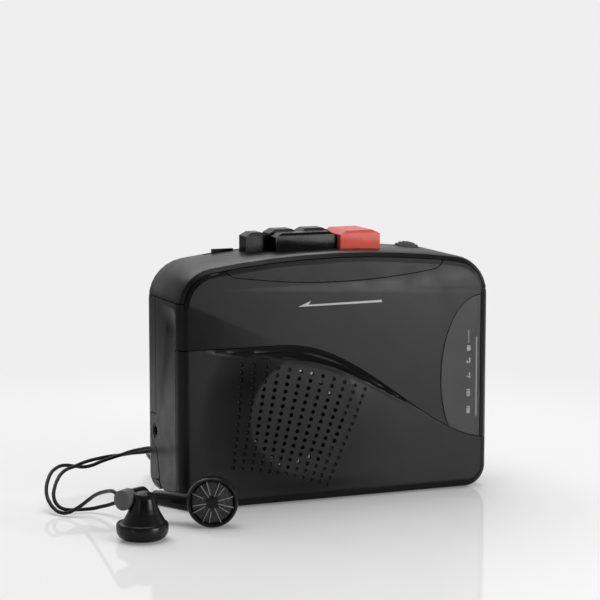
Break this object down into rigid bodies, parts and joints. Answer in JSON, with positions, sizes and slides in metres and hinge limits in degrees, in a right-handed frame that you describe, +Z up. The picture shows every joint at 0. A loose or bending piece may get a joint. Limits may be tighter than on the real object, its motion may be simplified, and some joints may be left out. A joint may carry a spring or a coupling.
{
  "type": "portable cassette player",
  "caption": "Pocket radio cassette recorder with a two-tone front, speaker grille, dial window, top keys, a hinged tape door behind, tape drive inside, and plugged-in earphones on a cord.",
  "frame": {"origin": "middle of the underside of the standing player, on the surface it stands on", "axes": "+X along the player towards its tuning wheel side, +Y from the speaker front towards the tape door, +Z up"},
  "size_m": [0.1683, 0.115, 0.0946],
  "materials": {
    "shell": "fine matt moulding",
    "panel": "fine matt moulding",
    "trim": "fine matt moulding",
    "key": "satin",
    "red_key": "satin",
    "lens": "clear smoked",
    "window": "clear smoked",
    "dial": "printed",
    "pointer": "matt",
    "steel": "bright",
    "brass": "bright",
    "gear": "moulded",
    "board": "lacquered board",
    "cell": "satin",
    "rubber": "matt",
    "black_plastic": "matt",
    "cone": "paper",
    "lamp": "clear",
    "cord": "matt",
    "bud": "satin"
  },
  "bodies": {
    "cabinet": {"front_shell": "shell", "brow_trim": "trim", "dial_lens": "lens", "dial_plate": "dial", "top_cover": "trim", "center_frame": "trim", "hinge_pins": "steel", "volume_control": "steel", "function_switch": "steel", "tuning_capacitor": "gear", "microphone": "steel", "power_light": "lamp", "power_jack": "black_plastic", "headphone_jack": "black_plastic", "speaker_frame": "steel", "speaker_cone": "cone", "circuit_board": "board", "battery_cells": "cell", "battery_contacts": "steel", "chassis_plate": "steel", "key_bracket": "steel", "motor": "steel", "motor_bracket": "steel", "drive_belt": "rubber", "capstan_bearing": "brass", "chassis_screws": "steel", "headphone_plug": "black_plastic", "main_cord": "cord", "cord_coil": "cord", "cord_splitter": "black_plastic", "left_lead": "cord", "right_lead": "cord", "left_earbud": "bud", "right_earbud": "bud"},
    "battery_cover": {"front_panel": "panel"},
    "cassette_door": {"cassette_door": "shell", "door_window": "window", "cassette_holder": "steel"},
    "stop_eject_key": {"stop_eject_key": "key"},
    "rewind_key": {"rewind_key": "key"},
    "fast_forward_key": {"fast_forward_key": "key"},
    "play_key": {"play_key": "key"},
    "record_key": {"record_key": "red_key"},
    "head_plate": {"head_plate": "steel", "playback_head": "steel", "erase_head": "black_plastic"},
    "pinch_arm": {"pinch_arm": "steel"},
    "pinch_roller": {"pinch_roller": "rubber"},
    "volume_wheel": {"volume_wheel": "shell"},
    "function_knob": {"function_knob": "shell"},
    "tuning_wheel": {"tuning_wheel": "shell"},
    "dial_pointer": {"dial_pointer": "pointer"},
    "flywheel": {"flywheel": "brass"},
    "motor_pulley": {"motor_pulley": "brass"},
    "idler_gear": {"idler_gear": "gear"},
    "takeup_spindle": {"takeup_spindle": "gear"},
    "supply_spindle": {"supply_spindle": "gear"}
  },
  "joints": [
    {"name": "battery_cover_slide", "type": "slide", "parent": "cabinet", "child": "battery_cover", "axis": [0, -1, 0], "range_m": [0, 0.012]},
    {"name": "cassette_door_turn", "type": "hinge", "parent": "cabinet", "child": "cassette_door", "pos_m": [0, 0.0115, 0.009], "axis": [-1, 0, 0], "range_deg": [0, 30]},
    {"name": "stop_eject_key_slide", "type": "slide", "parent": "cabinet", "child": "stop_eject_key", "axis": [0, 0, -1], "range_m": [0, 0.004], "stiffness_N_per_m": 200, "springref_m": -0.002},
    {"name": "rewind_key_slide", "type": "slide", "parent": "cabinet", "child": "rewind_key", "axis": [0, 0, -1], "range_m": [0, 0.004], "stiffness_N_per_m": 200, "springref_m": -0.002},
    {"name": "fast_forward_key_slide", "type": "slide", "parent": "cabinet", "child": "fast_forward_key", "axis": [0, 0, -1], "range_m": [0, 0.004], "stiffness_N_per_m": 200, "springref_m": -0.002},
    {"name": "play_key_slide", "type": "slide", "parent": "cabinet", "child": "play_key", "axis": [0, 0, -1], "range_m": [0, 0.004], "stiffness_N_per_m": 300, "springref_m": -0.002},
    {"name": "record_key_slide", "type": "slide", "parent": "cabinet", "child": "record_key", "axis": [0, 0, -1], "range_m": [0, 0.004], "stiffness_N_per_m": 200, "springref_m": -0.002},
    {"name": "head_plate_slide", "type": "slide", "parent": "cabinet", "child": "head_plate", "axis": [0, 0, -1], "range_m": [0, 0.004]},
    {"name": "pinch_arm_turn", "type": "hinge", "parent": "cabinet", "child": "pinch_arm", "pos_m": [0.036, 0.0026, 0.06963], "axis": [0, -1, 0], "range_deg": [0, 31.4]},
    {"name": "pinch_roller_turn", "type": "hinge", "parent": "pinch_arm", "child": "pinch_roller", "pos_m": [0.0204, 0.0085, 0.074], "axis": [0, 1, 0], "continuous": true},
    {"name": "volume_wheel_turn", "type": "hinge", "parent": "cabinet", "child": "volume_wheel", "pos_m": [0.0385, 0.0105, 0.07998], "axis": [0, 1, 0], "range_deg": [0, 290]},
    {"name": "function_knob_slide", "type": "slide", "parent": "cabinet", "child": "function_knob", "axis": [1, 0, 0], "range_m": [-0.003, 0.003]},
    {"name": "tuning_wheel_turn", "type": "hinge", "parent": "cabinet", "child": "tuning_wheel", "pos_m": [0.0478, -0.00375, 0.0408], "axis": [0, -1, 0], "range_deg": [0, 270]},
    {"name": "dial_pointer_slide", "type": "slide", "parent": "cabinet", "child": "dial_pointer", "axis": [0, 0, 1], "range_m": [0, 0.029]},
    {"name": "flywheel_turn", "type": "hinge", "parent": "cabinet", "child": "flywheel", "pos_m": [0.0204, 0, 0.06], "axis": [0, 1, 0], "continuous": true},
    {"name": "motor_pulley_turn", "type": "hinge", "parent": "cabinet", "child": "motor_pulley", "pos_m": [0.034, -0.0043, 0.02], "axis": [0, 1, 0], "continuous": true},
    {"name": "idler_gear_turn", "type": "hinge", "parent": "cabinet", "child": "idler_gear", "pos_m": [0.02078, -0.0014, 0.05025], "axis": [0, 1, 0], "continuous": true},
    {"name": "takeup_spindle_turn", "type": "hinge", "parent": "cabinet", "child": "takeup_spindle", "pos_m": [0.02125, 0.002, 0.0345], "axis": [0, 1, 0], "continuous": true},
    {"name": "supply_spindle_turn", "type": "hinge", "parent": "cabinet", "child": "supply_spindle", "pos_m": [-0.02125, 0.002, 0.0345], "axis": [0, 1, 0], "continuous": true}
  ],
  "couplings": [
    {"joint": "dial_pointer_slide", "follows": "tuning_wheel_turn", "m_per_rad": 0.00615},
    {"joint": "head_plate_slide", "follows": "play_key_slide", "ratio": 1},
    {"joint": "pinch_arm_turn", "follows": "play_key_slide", "rad_per_m": 136.7},
    {"joint": "motor_pulley_turn", "follows": "flywheel_turn", "ratio": 4.3},
    {"joint": "idler_gear_turn", "follows": "flywheel_turn", "ratio": -0.72727},
    {"joint": "takeup_spindle_turn", "follows": "flywheel_turn", "ratio": 0.4}
  ]
}
